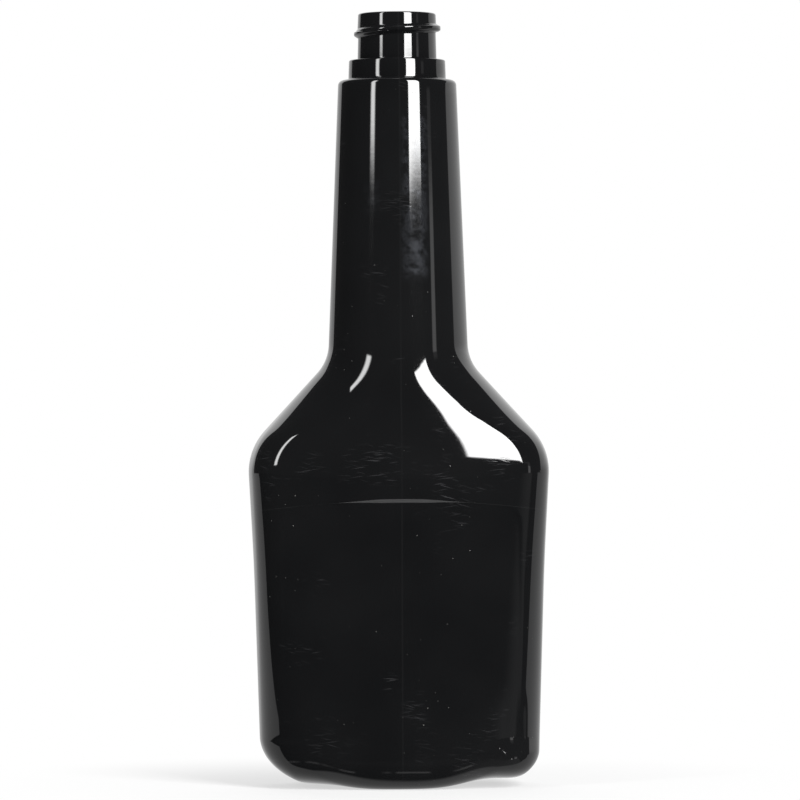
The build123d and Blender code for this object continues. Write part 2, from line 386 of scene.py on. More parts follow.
# %% Press it into the mould
for index, (height, left, right, depth, corner) in enumerate(rings):
    chosen = number == index
    if left == 0:
        points[chosen] = (0, 0, height)
        continue
    x_ring, y_ring = plan_points(left, right, depth, corner)
    points[chosen, 0] = x_ring[place[chosen]]
    points[chosen, 1] = y_ring[place[chosen]]
    points[chosen, 2] = height
mesh.vertices.foreach_set("co", (points * MM).ravel())
mesh.update()
bpy.ops.object.mode_set(mode="EDIT")
bpy.ops.mesh.select_all(action="SELECT")
bpy.ops.mesh.normals_make_consistent(inside=False)
bpy.ops.object.mode_set(mode="OBJECT")
print("pressed", [round(x * 1000, 2) for x in shell.dimensions], "mm")
rim_ring = max(range(len(rings)), key=lambda index: rings[index][0])

# %% [markdown]
# ## Relief
# What stands out of the plain form, or is sunk into it, is painted as a vertex group, from 0 to 1,
# and pushed out by a Displace modifier that is then applied. So each piece of relief is a painted
# area and a height in millimetres, as it would be with a brush, but exact.

# %% A helper for relief
x, y, z = points[:, 0].copy(), points[:, 1].copy(), points[:, 2].copy()
outer = number <= rim_ring


def soft_step(value, low, high):
    """0 below low, 1 above high, and smooth between them."""
    share = np.clip((value - low) / (high - low), 0, 1)
    return share * share * (3 - 2 * share)


def press_relief(name, weight, height, direction="NORMAL"):
    """Paints weight as a vertex group and displaces the shell by height, in millimetres."""
    group = shell.vertex_groups.new(name=name)
    for index in np.nonzero(weight > 0)[0]:
        group.add([int(index)], float(weight[index]), "REPLACE")
    relief = shell.modifiers.new(name, "DISPLACE")
    relief.vertex_group = name
    relief.direction = direction
    relief.mid_level = 0
    relief.strength = height * MM
    bpy.context.view_layer.objects.active = shell
    bpy.ops.object.modifier_apply(modifier=name)
    shell.vertex_groups.remove(shell.vertex_groups[name])
    print(name, "points", int((weight > 0).sum()), "height", round(height, 2), "mm")


# %% [markdown]
# ## The shoulder
# A blown shoulder is thin at its front and back, where the tube has stretched most to reach the
# mould, and it sinks a little as it cools. So the front and the back of the shoulder are let down
# by up to four millimetres, and its two ends stay where they are.

# %% Let down the front and back of the shoulder
sink_middle, sink_reach, sink_depth = 110.0, 18.0, 4.0
near_shoulder = np.clip(1 - np.abs(z - sink_middle) / sink_reach, 0, 1)
azimuth = np.arctan2(y, x)
facing = np.sin(azimuth) ** 2
press_relief("shoulder_front", soft_step(near_shoulder, 0, 1) * facing, -sink_depth, "Z")

# %% [markdown]
# ## The thread
# The neck's thread is one turn of a right-hand screw. It starts and ends at the back, where it
# sinks into the neck, so that a closure finds its way on. Its flanks slope, as a mould's must.

# %% Press out the thread
thread_diameter, thread_pitch = 23.8, 3.175
thread_base_width, thread_crest_width, thread_fade_turns = 2.6, 1.1, 0.12
crest_rounding, skin_depth = 0.2, 0.3
turns = (np.degrees(azimuth) - 270) / 360
turns -= np.rint(turns)
middle = thread_middle + thread_pitch * turns
ends_in = np.clip((0.5 - np.abs(turns)) / thread_fade_turns, 0, 1)
flank = 1 - soft_step(np.abs(z - middle), thread_crest_width / 2 - crest_rounding,
                      thread_base_width / 2)
on_neck = outer & (z > collar_top + neck_foot_radius) & (z < total_height - rim_radius)
on_neck &= np.hypot(x, y) > neck_radius - skin_depth
thread = np.where(on_neck, flank * soft_step(ends_in, 0, 1), 0)
press_relief("thread", thread, (thread_diameter - neck_diameter) / 2)

# %% [markdown]
# ## The label panels
# Front and back are sunk where a label goes, so that it can't be rubbed off in a crate. The panel
# is flatter than the bowed body around it. So its top edge, a shallow arc, is deepest in the
# middle, and it runs out towards the sides and the foot.

# %% Sink the label panels
panel_width, panel_bottom, panel_top, panel_top_rise = 65.0, 6.8, 78.6, 1.9
panel_corner, panel_sink, panel_edge = 5.0, 0.7, 0.9
lost_at_sides, left_at_foot, foot_fade = 0.7, 0.3, (20, 70)
panel_side = panel_width / 2
arc_radius = (panel_side**2 + panel_top_rise**2) / (2 * panel_top_rise)
across_arc = np.clip(np.abs(x), 0, panel_side + panel_corner)
top_here = panel_top - arc_radius + np.sqrt(arc_radius**2 - across_arc**2)
over = np.maximum(np.abs(x) - (panel_side - panel_corner), 0)
above = np.maximum(z - (top_here - panel_corner), 0)
below = np.maximum((panel_bottom + panel_corner) - z, 0)
inside_by = panel_corner - np.hypot(over, np.maximum(above, below))
panels = np.where(outer & (z < shoulder_height),
                  soft_step(inside_by, -panel_edge / 2, panel_edge / 2), 0)
flatter = 1 - lost_at_sides * np.clip(np.abs(x) / panel_side, 0, 1) ** 2
flatter *= left_at_foot + (1 - left_at_foot) * soft_step(z, *foot_fade)
press_relief("label_panels", panels * flatter, -panel_sink)

# %% [markdown]
# ## The foot
# This bottle has been knocked and has warped. Right of the middle the front of the base is pushed
# up in a wave, and left of the middle it is drawn up a little. The wall moves as a whole, inside
# and outside, and the back of the base stays flat, so that the bottle still stands on it.

# %% Press the foot
dent_place, dent_spread, dent_height = 23.8, 6.8, 2.6
drawn_up_place, drawn_up_spread, drawn_up_height = -20.5, 5.5, 1.3
edge_lift, edge_fade, fade_to_back = 0.45, (24, 34), 0.063
foot_low, foot_height, least_lift = 1, 16.0, 0.005
wave = edge_lift * (1 - soft_step(np.abs(x), *edge_fade))
wave += dent_height * np.exp(-((x - dent_place) / dent_spread) ** 2 / 2)
wave += drawn_up_height * np.exp(-((x - drawn_up_place) / drawn_up_spread) ** 2 / 2)
lift = np.maximum(wave - fade_to_back * (y + base_depth / 2), 0)
lift *= 1 - soft_step(z, foot_low, foot_height)
lift = np.where(lift > least_lift, lift, 0)
press_relief("foot", lift / lift.max(), lift.max(), "Z")

# %% [markdown]
# ## A knock and a pinch-off
# Above the wave, the corner at the right has a flat knock. Under the base, the closing mould has
# pinched the tube off along the parting line, which leaves a low ridge in the push-up.

# %% Press the knock and the pinch-off
knock_left, knock_right, knock_foot, knock_head = (25, 29), (33.2, 34.4), (6, 13), (20, 27)
knock_depth = 0.4
knock = soft_step(x, *knock_left) * (1 - soft_step(x, *knock_right))
knock = knock * soft_step(z, *knock_foot) * (1 - soft_step(z, *knock_head))
press_relief("corner_knock", np.where(outer & (y < 0), knock, 0), -knock_depth)
pinch_width, pinch_length, pinch_height = (0.3, 1.0), (5.0, 6.8), 0.5
pinch = (1 - soft_step(np.abs(x), *pinch_width)) * (1 - soft_step(np.abs(y), *pinch_length))
under = outer & (z < push_up_height + 0.1) & (np.hypot(x, y) < push_up_width / 2)
press_relief("pinch_off", np.where(under, pinch, 0), -pinch_height, "Z")

# %% [markdown]
# ## A smooth skin
# A polished mould leaves no facets. Smooth shading bends the light over the fine faces, and the
# relief above is wide enough for its edges to stay soft, as blown edges do.

# %% Finish the skin
bpy.ops.object.select_all(action="DESELECT")
shell.select_set(True)
bpy.context.view_layer.objects.active = shell
bpy.ops.object.shade_smooth()
mesh = shell.data
print("shell", len(mesh.vertices), "points", len(mesh.polygons), "faces")

# %% [markdown]
# ## Colours and nodes
# Colours are written as they look on a screen, in sRGB hex, and one function makes them linear.
# One more function adds a node with its settings and links, for each material and lamp below. Map
# Range nodes do most of the work: they turn a place or a pattern into a share from 0 to 1, and the
# soft setting, which many of them have, rounds off both ends. The settings that come again and
# again have short names here.

# %% Colours and nodes
soft = {"interpolation_type": "SMOOTHSTEP"}
plus, minus, times, largest, unsigned = ({"operation": word} for word in (
    "ADD", "SUBTRACT", "MULTIPLY", "MAXIMUM", "ABSOLUTE"))


def linear(hex_colour):
    """An sRGB hex colour as linear red, green, blue and alpha."""
    parts = [int(hex_colour[i:i + 2], 16) / 255 for i in (1, 3, 5)]
    return [c / 12.92 if c <= 0.04045 else ((c + 0.055) / 1.055) ** 2.4 for c in parts] + [1]


def add_node(material, kind, settings=None, inputs=None):
    """Adds a node. settings are its properties, and inputs its sockets' values or links."""
    node = material.node_tree.nodes.new(kind)
    for name, value in (settings or {}).items():
        setattr(node, name, value)
    for name, value in (inputs or {}).items():
        if isinstance(value, bpy.types.NodeSocket):
            material.node_tree.links.new(value, node.inputs[name])
        else:
            node.inputs[name].default_value = value
    return node


def new_material(name):
    """An empty material with its output node."""
    material = bpy.data.materials.new(name)
    material.use_nodes = True
    material.node_tree.nodes.clear()
    return material, add_node(material, "ShaderNodeOutputMaterial")


# %% [markdown]
# ## The plastic
# Black high-density polyethylene or PVC, blown against a polished mould. Black masterbatch stops
# all light that goes in, so the eye sees the skin's mirror-like reflection, a little wavy because
# the wall cooled unevenly. It is built as dark plastic under a smooth coat. What handling did to
# it comes on top: dust, fine scratches, a rubbed crease and a hazy, scuffed patch on the cone. A
# painted highlight, pale grey along the middle of the label panel's top edge, is laid on with them.
# Every pattern's scale is the size of the real mark, in millimetres. Dust is finer than the render
# can show, so its grains are drawn 0.3 mm across.

# %% Soft mottling and dust
plastic, output = new_material("glossy_black_blown_plastic")
place_on = add_node(plastic, "ShaderNodeTexCoord").outputs["Object"]
axes = add_node(plastic, "ShaderNodeSeparateXYZ", {}, {"Vector": place_on})
cloud_size, cluster_size = 26 * MM, 20 * MM
clouds = add_node(plastic, "ShaderNodeTexNoise", {},
                  {"Vector": place_on, "Scale": 1 / cloud_size, "Detail": 2.0})
clusters = add_node(plastic, "ShaderNodeTexNoise", {},
                    {"Vector": place_on, "Scale": 1 / cluster_size, "Detail": 1.0})
near_dust = add_node(plastic, "ShaderNodeMapRange", {},
                     {"Value": clusters.outputs["Fac"], "From Min": 0.50, "From Max": 0.66})
dust_apart, dust_core, dust_edge = 2.3 * MM, 0.02, 0.065
grains = add_node(plastic, "ShaderNodeTexVoronoi", {}, {"Vector": place_on, "Scale": 1 / dust_apart})
grain = add_node(plastic, "ShaderNodeMapRange", {},
                 {"Value": grains.outputs["Distance"], "From Min": dust_core, "From Max": dust_edge,
                  "To Min": 1.0, "To Max": 0.0})
dust = add_node(plastic, "ShaderNodeMath", times,
                {0: grain.outputs["Result"], 1: near_dust.outputs["Result"]}).outputs[0]
print("dust grains", round(2 * dust_edge * dust_apart / MM, 2), "mm")

# %% [markdown]
# ## Scratches
# The widest part of the bottle rubs on its neighbours, so scratches gather there. Noise that is
# stretched to 5 mm by 0.3 mm makes short, thin marks, a coarser noise leaves them in patches, and
# three layers of them lie at three turns. Real ones are finer, and these are as wide as they need
# to be to show.

# %% Where it rubs
rub_height, rub_reach, patch_size = 89 * MM, 11 * MM, 15 * MM
off_widest = add_node(plastic, "ShaderNodeMath", minus, {0: axes.outputs["Z"], 1: rub_height})
off_widest = add_node(plastic, "ShaderNodeMath", unsigned, {0: off_widest.outputs[0]})
rubbed = add_node(plastic, "ShaderNodeMapRange", soft,
                  {"Value": off_widest.outputs[0], "From Min": 0.0, "From Max": rub_reach,
                   "To Min": 0.13, "To Max": 0.0})
patches = add_node(plastic, "ShaderNodeTexNoise", {},
                   {"Vector": place_on, "Scale": 1 / patch_size, "Detail": 1.0})
patch = add_node(plastic, "ShaderNodeMath", plus,
                 {0: patches.outputs["Fac"], 1: rubbed.outputs["Result"]})
patch = add_node(plastic, "ShaderNodeMapRange", {},
                 {"Value": patch.outputs[0], "From Min": 0.58, "From Max": 0.74})
print("scratched most", round(rub_height / MM), "mm up")

# %% Scratches at three turns
scratch_width, scratch_length, scratch_turns = 0.32 * MM, 5 * MM, (3, -9, 16)
scratches = None
for turn in scratch_turns:
    laid = add_node(plastic, "ShaderNodeMapping", {"vector_type": "TEXTURE"},
                    {"Vector": place_on, "Rotation": (0, math.radians(turn), 0),
                     "Scale": (scratch_length, scratch_length, scratch_width)})
    lines = add_node(plastic, "ShaderNodeTexNoise", {},
                     {"Vector": laid.outputs["Vector"], "Scale": 1.0, "Detail": 0.0})
    line = add_node(plastic, "ShaderNodeMapRange", {},
                    {"Value": lines.outputs["Fac"], "From Min": 0.72, "From Max": 0.86})
    line = add_node(plastic, "ShaderNodeMath", times,
                    {0: line.outputs["Result"], 1: patch.outputs["Result"]}).outputs[0]
    if scratches:
        line = add_node(plastic, "ShaderNodeMath", largest, {0: line, 1: scratches}).outputs[0]
    scratches = line
print("scratches", round(scratch_length / MM, 2), "by", round(scratch_width / MM, 2), "mm")

# %% [markdown]
# ## A painted highlight and a rubbed crease
# The top edge of the label panel has a painted highlight, pale grey and widest in its middle and
# thin towards its ends. An edge is the first thing to rub, and the crease above the wave in the foot
# is rubbed grey in short lengths. Each is drawn by the distance from a line: a circle of the panel's
# own radius, and a curve that rises with the wave.

# %% The painted highlight on the top edge of the label panel
arc_middle = (panel_top - arc_radius) * MM
arc_wide, arc_thin, arc_half_widths = 4 * MM, 17.5 * MM, (0.55 * MM, 0.06 * MM)
flat_place = add_node(plastic, "ShaderNodeCombineXYZ", {}, {"X": axes.outputs["X"]})
from_arc = add_node(plastic, "ShaderNodeMath", minus, {0: axes.outputs["Z"], 1: arc_middle})
plastic.node_tree.links.new(from_arc.outputs[0], flat_place.inputs["Z"])
from_arc = add_node(plastic, "ShaderNodeVectorMath", {"operation": "LENGTH"},
                    {0: flat_place.outputs["Vector"]})
from_arc = add_node(plastic, "ShaderNodeMath", minus,
                    {0: from_arc.outputs["Value"], 1: arc_radius * MM})
from_arc = add_node(plastic, "ShaderNodeMath", unsigned, {0: from_arc.outputs[0]})
aside = add_node(plastic, "ShaderNodeMath", unsigned, {0: axes.outputs["X"]})
arc_half = add_node(plastic, "ShaderNodeMapRange", soft,
                    {"Value": aside.outputs[0], "From Min": arc_wide, "From Max": arc_thin,
                     "To Min": arc_half_widths[0], "To Max": arc_half_widths[1]})
arc_share = add_node(plastic, "ShaderNodeMath", {"operation": "DIVIDE"},
                     {0: from_arc.outputs[0], 1: arc_half.outputs["Result"]})
# The painted highlight: a share of pale grey along the arc, wide in the middle and thin at the ends.
painted_arc_highlight = add_node(plastic, "ShaderNodeMapRange", soft,
                    {"Value": arc_share.outputs[0], "From Min": 0.45, "From Max": 1.1,
                     "To Min": 1.0, "To Max": 0.0})
arc_ends = add_node(plastic, "ShaderNodeMapRange", soft,
                    {"Value": aside.outputs[0], "From Min": 14 * MM, "From Max": 19 * MM,
                     "To Min": 1.0, "To Max": 0.15})
painted_arc_highlight = add_node(plastic, "ShaderNodeMath", times,
                    {0: painted_arc_highlight.outputs["Result"], 1: arc_ends.outputs["Result"]})
print("arc", round(arc_radius, 1), "mm in radius, rubbed to", round(arc_thin / MM, 1), "mm aside")

# %% The rubbed crease above the foot
crease_low, right_climb, left_climb, mark_size = 5.0 * MM, 3.9 * MM, 2.8 * MM, 7 * MM
right_rise = add_node(plastic, "ShaderNodeMapRange", soft,
                      {"Value": axes.outputs["X"], "From Min": 11 * MM, "From Max": 28 * MM,
                       "To Min": crease_low, "To Max": crease_low + right_climb})
left_rise = add_node(plastic, "ShaderNodeMapRange", soft,
                     {"Value": axes.outputs["X"], "From Min": -26 * MM, "From Max": -12 * MM,
                      "To Min": left_climb, "To Max": 0.0})
crease = add_node(plastic, "ShaderNodeMath", plus,
                  {0: right_rise.outputs["Result"], 1: left_rise.outputs["Result"]})
from_crease = add_node(plastic, "ShaderNodeMath", minus,
                       {0: axes.outputs["Z"], 1: crease.outputs[0]})
from_crease = add_node(plastic, "ShaderNodeMath", unsigned, {0: from_crease.outputs[0]})
crease_wear = add_node(plastic, "ShaderNodeMapRange", soft,
                       {"Value": from_crease.outputs[0], "From Min": 0.05 * MM,
                        "From Max": 0.4 * MM, "To Min": 0.3, "To Max": 0.0})
rub_marks = add_node(plastic, "ShaderNodeTexNoise", {},
                     {"Vector": place_on, "Scale": 1 / mark_size, "Detail": 2.0})
rub_mark = add_node(plastic, "ShaderNodeMapRange", {},
                    {"Value": rub_marks.outputs["Fac"], "From Min": 0.46, "From Max": 0.58})
crease_wear = add_node(plastic, "ShaderNodeMath", times,
                       {0: crease_wear.outputs["Result"], 1: rub_mark.outputs["Result"]})
# The painted highlight on the panel's edge and the rubbed crease are joined, on the front only.
crease_wear_and_arc_highlight = add_node(plastic, "ShaderNodeMath", largest,
                     {0: painted_arc_highlight.outputs[0], 1: crease_wear.outputs[0]})
at_front = add_node(plastic, "ShaderNodeMath", {"operation": "LESS_THAN"},
                    {0: axes.outputs["Y"], 1: 0.0})
crease_wear_and_arc_highlight = add_node(plastic, "ShaderNodeMath", times,
                     {0: crease_wear_and_arc_highlight.outputs[0], 1: at_front.outputs[0]}).outputs[0]
print("crease from", round(crease_low / MM, 1), "mm up, climbs by", round(right_climb / MM, 1), "mm")

# %% [markdown]
# ## The parting line and the scuffs
# The two halves of the mould meet in the middle of the front and the back, and leave a line that is
# hardly there. On the cone, where a hand holds the bottle, the skin is scuffed to a haze that
# spreads the lamps' reflections. A haze is roughness and not colour, broken up by a fine pattern.

# %% The parting line
seam_core, seam_edge = 0.08 * MM, 0.32 * MM
seam = add_node(plastic, "ShaderNodeMapRange", soft,
                {"Value": aside.outputs[0], "From Min": seam_core, "From Max": seam_edge,
                 "To Min": 1.0, "To Max": 0.0}).outputs["Result"]
print("parting line", round(2 * seam_edge / MM, 2), "mm wide")

# %% The scuffed patches, as (left, right, low, high) in millimetres
scuff_places = ((-0.5, 8.5, 137, 186), (-10.5, -4.5, 155, 167))
frost_size, side_fade, end_fade = 2.6 * MM, 2.2, 5.0
frost = add_node(plastic, "ShaderNodeTexNoise", {},
                 {"Vector": place_on, "Scale": 1 / frost_size, "Detail": 4.0, "Roughness": 0.65})
frost = add_node(plastic, "ShaderNodeMapRange", {},
                 {"Value": frost.outputs["Fac"], "From Min": 0.36, "From Max": 0.62})
scuffs = None
for left, right, low, high in scuff_places:
    edges = []
    for axis, start, end, fade in (("X", left, right, side_fade), ("Z", low, high, end_fade)):
        edges.append(add_node(plastic, "ShaderNodeMapRange", soft,
                              {"Value": axes.outputs[axis], "From Min": start * MM,
                               "From Max": (start + fade) * MM}))
        edges.append(add_node(plastic, "ShaderNodeMapRange", soft,
                              {"Value": axes.outputs[axis], "From Min": (end - fade) * MM,
                               "From Max": end * MM, "To Min": 1.0, "To Max": 0.0}))
    area = at_front.outputs[0]
    for edge in edges:
        area = add_node(plastic, "ShaderNodeMath", times,
                        {0: area, 1: edge.outputs["Result"]}).outputs[0]
    if scuffs:
        area = add_node(plastic, "ShaderNodeMath", largest, {0: area, 1: scuffs}).outputs[0]
    scuffs = area
scuffs = add_node(plastic, "ShaderNodeMath", times,
                  {0: scuffs, 1: frost.outputs["Result"]}).outputs[0]
print("scuffed patches", len(scuff_places))

# %% [markdown]
# ## Colour, roughness and skin
# Now the marks come together. Each one tints the black in turn, and most of them lift or sink the
# skin, by two hundredths of a millimetre at the most. The skin also has a long ripple, from the
# wall's uneven cooling, and a fine orange peel, from the mould. The coat stays mirror-like. The
# plastic under it is fully rough, which greys it a little all over, and where it is scuffed it is
# less so, which spreads a haze around each reflection.

# %% Colour, from the plastic out to the dust
# The #404040 is rubbed grey on the crease above the foot and a painted highlight on the label panel's
# top edge.
mark_colours = ((seam, "#0d0d0d"), (scratches, "#303031"), (crease_wear_and_arc_highlight, "#404040"), (dust, "#747470"))
base = add_node(plastic, "ShaderNodeMapRange", {},
                {"Value": clouds.outputs["Fac"], "From Min": 0.35, "From Max": 0.65})
tone = add_node(plastic, "ShaderNodeValToRGB", {}, {"Fac": base.outputs["Result"]})
tone.color_ramp.elements[0].color = linear("#060606")
tone.color_ramp.elements[1].color = linear("#0a0a0a")
colour = tone.outputs["Color"]
for share, hex_colour in mark_colours:
    mixed = add_node(plastic, "ShaderNodeMix", {"data_type": "RGBA"})
    plastic.node_tree.links.new(share, mixed.inputs[0])
    plastic.node_tree.links.new(colour, mixed.inputs[6])
    mixed.inputs[7].default_value = linear(hex_colour)
    colour = mixed.outputs[2]
print("marks mixed in", len(mark_colours))

# %% Roughness and skin
ripple_size, peel_size = 30 * MM, 1.5 * MM
roughness = add_node(plastic, "ShaderNodeMapRange", {},
                     {"Value": scuffs, "From Min": 0.0, "From Max": 1.0, "To Min": 1.0, "To Max": 0.2})
ripple = add_node(plastic, "ShaderNodeTexNoise", {},
                  {"Vector": place_on, "Scale": 1 / ripple_size, "Detail": 1.0, "Roughness": 0.4})
peel = add_node(plastic, "ShaderNodeTexNoise", {},
                {"Vector": place_on, "Scale": 1 / peel_size, "Detail": 1.0})
skin_heights = ((ripple.outputs["Fac"], 0.02), (peel.outputs["Fac"], 0.001), (seam, 0.002),
                (dust, 0.02), (scratches, -0.002))
relief = None
for share, height in skin_heights:
    relief = add_node(plastic, "ShaderNodeMath", {"operation": "MULTIPLY_ADD"},
                      {0: share, 1: height, 2: relief if relief else 0.0}).outputs[0]
skin = add_node(plastic, "ShaderNodeBump", {},
                {"Strength": 1.0, "Distance": MM, "Height": relief}).outputs["Normal"]
shader = add_node(plastic, "ShaderNodeBsdfPrincipled", {}, {
    "Base Color": colour, "Roughness": roughness.outputs["Result"], "IOR": 1.53,
    "Specular IOR Level": 0.10, "Specular Tint": linear("#e2e8f6"), "Normal": skin,
    "Coat Weight": 1.0, "Coat Roughness": 0.04, "Coat IOR": 1.53, "Coat Normal": skin})
plastic.node_tree.links.new(shader.outputs["BSDF"], output.inputs["Surface"])
print("plastic nodes", len(plastic.node_tree.nodes))

# %% [markdown]
# ## The finish goes on
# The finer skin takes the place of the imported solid, moves with it and bears the same finish.

# %% Put the finish on the bottle
mesh.materials.clear()
mesh.materials.append(plastic)
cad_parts["bottle"].data.materials.clear()
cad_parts["bottle"].data.materials.append(plastic)
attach(shell, "root")
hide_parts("bottle")
print("finish", plastic.name)

# %% [markdown]
# ## The studio
# The bottle stands on a white table before a white wall, with a tall soft lamp at its right and a
# narrower one at its left. A black gloss shows little but what it reflects, so the room is made for
# the reflections: the front is dark, which keeps the bottle black, and the white of the table and
# the wall begins where the pale rims along the bottle's sides do.

# %% [markdown]
# ## The table
# White paper. The camera sees it fade to pure white away from the bottle's own shadow. A glossy
# ray sees white behind a line on each side of the bottle, black before it, and at the front right
# the lamp's light that spills on the table and fades.

# %% The table
white_front, right_floor_slope = -0.021, 0.02
left_floor_start, left_floor_slope = -0.100, 0.40
shadow_from, shadow_to = 0.02, 0.14
spill_from, spill_to, spill_fades, spill_ends = (math.radians(turn) for turn in (26, 62, 66, 72))
bpy.ops.mesh.primitive_plane_add(size=6, location=(0, 0, 0))
table = bpy.context.object
table.name = "table"
paper, output = new_material("white_table")
place_on = add_node(paper, "ShaderNodeTexCoord")
split_place = add_node(paper, "ShaderNodeSeparateXYZ", {}, {"Vector": place_on.outputs["Object"]})
to_left = add_node(paper, "ShaderNodeMath", {"operation": "MULTIPLY_ADD"},
                   {0: split_place.outputs["X"], 1: -left_floor_slope, 2: left_floor_start})
to_right = add_node(paper, "ShaderNodeMath", {"operation": "MULTIPLY_ADD"},
                    {0: split_place.outputs["X"], 1: right_floor_slope, 2: white_front})
edge = add_node(paper, "ShaderNodeMath", largest, {0: to_left.outputs[0], 1: to_right.outputs[0]})
past_edge = add_node(paper, "ShaderNodeMath", minus,
                     {0: split_place.outputs["Y"], 1: edge.outputs[0]})
front = add_node(paper, "ShaderNodeMapRange", soft,
                 {"Value": past_edge.outputs[0], "From Min": -0.001, "From Max": 0.001})
rays = add_node(paper, "ShaderNodeLightPath")
away = add_node(paper, "ShaderNodeVectorMath", {"operation": "LENGTH"}, {0: place_on.outputs["Object"]})
fade = add_node(paper, "ShaderNodeMapRange", soft,
                {"Value": away.outputs["Value"], "From Min": shadow_from, "From Max": shadow_to,
                 "To Min": 0.6, "To Max": 1.0})
white = add_node(paper, "ShaderNodeBsdfDiffuse", {}, {"Color": linear("#e8e8e8")})
bright = add_node(paper, "ShaderNodeEmission", {}, {"Color": (1, 1, 1, 1), "Strength": 1.0})
table_white = add_node(paper, "ShaderNodeEmission", {}, {"Color": (1, 1, 1, 1), "Strength": 0.6})
to_front = add_node(paper, "ShaderNodeMath", times, {0: split_place.outputs["Y"], 1: -1.0})
azimuth_here = add_node(paper, "ShaderNodeMath", {"operation": "ARCTAN2"},
                        {0: split_place.outputs["X"], 1: to_front.outputs[0]})
spill = add_node(paper, "ShaderNodeMapRange", soft,
                 {"Value": azimuth_here.outputs[0], "From Min": spill_from, "From Max": spill_to,
                  "To Min": 0.014, "To Max": 0.18})
past_spill = add_node(paper, "ShaderNodeMapRange", soft,
                      {"Value": azimuth_here.outputs[0], "From Min": spill_fades,
                       "From Max": spill_ends, "To Min": 1.0, "To Max": 0.1})
spill = add_node(paper, "ShaderNodeMath", times,
                 {0: spill.outputs["Result"], 1: past_spill.outputs["Result"]})
dark = add_node(paper, "ShaderNodeEmission", {},
                {"Color": (1, 1, 1, 1), "Strength": spill.outputs[0]})
glossy_look = add_node(paper, "ShaderNodeMixShader", {}, {
    "Fac": front.outputs["Result"], 1: dark.outputs[0], 2: table_white.outputs[0]})
camera_look = add_node(paper, "ShaderNodeMixShader", {}, {
    "Fac": fade.outputs["Result"], 1: white.outputs[0], 2: bright.outputs[0]})
seen = add_node(paper, "ShaderNodeMixShader", {}, {
    "Fac": rays.outputs["Is Glossy Ray"], 1: camera_look.outputs[0], 2: glossy_look.outputs[0]})
paper.node_tree.links.new(seen.outputs[0], output.inputs["Surface"])
table.data.materials.append(paper)
print("table nodes", len(paper.node_tree.nodes))

# %% [markdown]
# ## The room
# A white wall behind, which starts at a slanting edge on each side, and near black in front. It is
# the world's own colour for reflections, and plain white for the camera. A faint upright band
# stands at the right, and the bottle's lower right corner shows it.

# %% The room's edges
left_lean, left_start, right_lean, right_start = -0.6, -1.13, 2.0, 0.26
room = bpy.data.worlds.new("studio_room")
room.use_nodes = True
room.node_tree.nodes.clear()
bpy.context.scene.world = room
room_out = add_node(room, "ShaderNodeOutputWorld")
way = add_node(room, "ShaderNodeTexCoord")
split_way = add_node(room, "ShaderNodeSeparateXYZ", {}, {"Vector": way.outputs["Generated"]})
left_slope = add_node(room, "ShaderNodeMath", {"operation": "MULTIPLY_ADD"},
                      {0: split_way.outputs["Z"], 1: left_lean, 2: left_start})
height_squared = add_node(room, "ShaderNodeMath", {"operation": "POWER"},
                          {0: split_way.outputs["Z"], 1: 2.0})
right_slope = add_node(room, "ShaderNodeMath", {"operation": "MULTIPLY_ADD"},
                       {0: height_squared.outputs[0], 1: right_lean, 2: right_start})
to_left = add_node(room, "ShaderNodeMath", times,
                   {0: split_way.outputs["X"], 1: left_slope.outputs[0]})
to_right = add_node(room, "ShaderNodeMath", times,
                    {0: split_way.outputs["X"], 1: right_slope.outputs[0]})
edge = add_node(room, "ShaderNodeMath", largest, {0: to_left.outputs[0], 1: to_right.outputs[0]})
past_edge = add_node(room, "ShaderNodeMath", minus, {0: split_way.outputs["Y"], 1: edge.outputs[0]})
back = add_node(room, "ShaderNodeMapRange", soft,
                {"Value": past_edge.outputs[0], "From Min": -0.02, "From Max": 0.02})
print("room's edges, left", left_start, "right", right_start)

# %% The wall's white
darkest = 0.03
climb = add_node(room, "ShaderNodeMapRange", {},
                 {"Value": split_way.outputs["Z"], "From Min": 0.0, "From Max": 0.12,
                  "To Min": 0.6, "To Max": 0.95})
wall_top = add_node(room, "ShaderNodeMapRange", {},
                    {"Value": split_way.outputs["Z"], "From Min": 0.15, "From Max": 0.5,
                     "To Min": 1.0, "To Max": 1.4})
wall_white = add_node(room, "ShaderNodeMath", times,
                      {0: back.outputs["Result"], 1: climb.outputs["Result"]})
wall_white = add_node(room, "ShaderNodeMath", times,
                      {0: wall_white.outputs[0], 1: wall_top.outputs["Result"]})
not_black = add_node(room, "ShaderNodeMath", largest, {0: wall_white.outputs[0], 1: darkest})
print("the front of the room is", darkest, "of white")

# %% The upright band, and what the camera sees
band_azimuth, band_core, band_edge = (math.radians(turn) for turn in (60.5, 2.4, 4.6))
to_front = add_node(room, "ShaderNodeMath", times, {0: split_way.outputs["Y"], 1: -1.0})
azimuth_there = add_node(room, "ShaderNodeMath", {"operation": "ARCTAN2"},
                         {0: split_way.outputs["X"], 1: to_front.outputs[0]})
off_stand = add_node(room, "ShaderNodeMath", minus, {0: azimuth_there.outputs[0], 1: band_azimuth})
off_stand = add_node(room, "ShaderNodeMath", unsigned, {0: off_stand.outputs[0]})
stand = add_node(room, "ShaderNodeMapRange", soft,
                 {"Value": off_stand.outputs[0], "From Min": band_core, "From Max": band_edge,
                  "To Min": 1.0, "To Max": 0.0})
stand_top = add_node(room, "ShaderNodeMapRange", soft,
                     {"Value": split_way.outputs["Z"], "From Min": 0.100, "From Max": 0.115,
                      "To Min": 1.2, "To Max": 0.25})
stand_end = add_node(room, "ShaderNodeMapRange", {},
                     {"Value": split_way.outputs["Z"], "From Min": 0.15, "From Max": 0.20,
                      "To Min": 1.0, "To Max": 0.0})
stand = add_node(room, "ShaderNodeMath", times,
                 {0: stand.outputs["Result"], 1: stand_top.outputs["Result"]})
